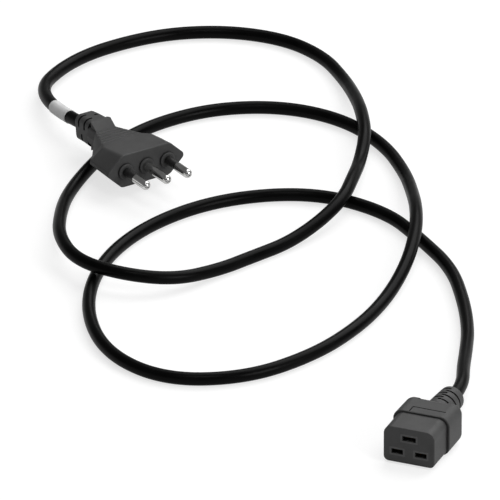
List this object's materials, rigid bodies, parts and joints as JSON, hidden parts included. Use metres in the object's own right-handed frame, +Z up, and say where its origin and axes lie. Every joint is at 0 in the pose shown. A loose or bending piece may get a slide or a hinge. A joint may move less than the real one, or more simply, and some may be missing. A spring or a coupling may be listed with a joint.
{
  "type": "c19 power connector",
  "caption": "Mains lead: a moulded C19 connector, a round black cord in loose loops with a grey label sleeve, and a moulded plug with round pins in a row.",
  "frame": {"origin": "on the surface that the lead lies on, under the middle of the C19 connector", "axes": "+Z up from the surface; the C19 connector's mating face looks towards -Y and its cord leaves towards +Y"},
  "size_m": [0.3578, 0.4327, 0.0251],
  "materials": {
    "moulding": "satin moulded PVC",
    "insert": "matte",
    "cord_sheath": "satin",
    "contact": "satin",
    "copper": "satin",
    "line_insulation": "matte",
    "neutral_insulation": "matte",
    "earth_insulation": "matte",
    "pin_metal": "nickel plated, polished",
    "pin_sleeve": "satin",
    "label": "satin film"
  },
  "bodies": {
    "root": {"connector_cord_tail": "cord_sheath", "connector_earth_contact": "contact", "connector_earth_copper": "copper", "connector_earth_core": "earth_insulation", "connector_insert": "insert", "connector_line_contact": "contact", "connector_line_copper": "copper", "connector_line_core": "line_insulation", "connector_neutral_contact": "contact", "connector_neutral_copper": "copper", "connector_neutral_core": "neutral_insulation", "connector_overmould": "moulding", "cord": "cord_sheath", "label_sleeve": "label", "plug_bridge": "insert", "plug_cord_tail": "cord_sheath", "plug_earth_copper": "copper", "plug_earth_core": "earth_insulation", "plug_earth_pin": "pin_metal", "plug_line_copper": "copper", "plug_line_core": "line_insulation", "plug_line_pin": "pin_metal", "plug_line_sleeve": "pin_sleeve", "plug_neutral_copper": "copper", "plug_neutral_core": "neutral_insulation", "plug_neutral_pin": "pin_metal", "plug_neutral_sleeve": "pin_sleeve", "plug_overmould": "moulding"}
  },
  "joints": []
}
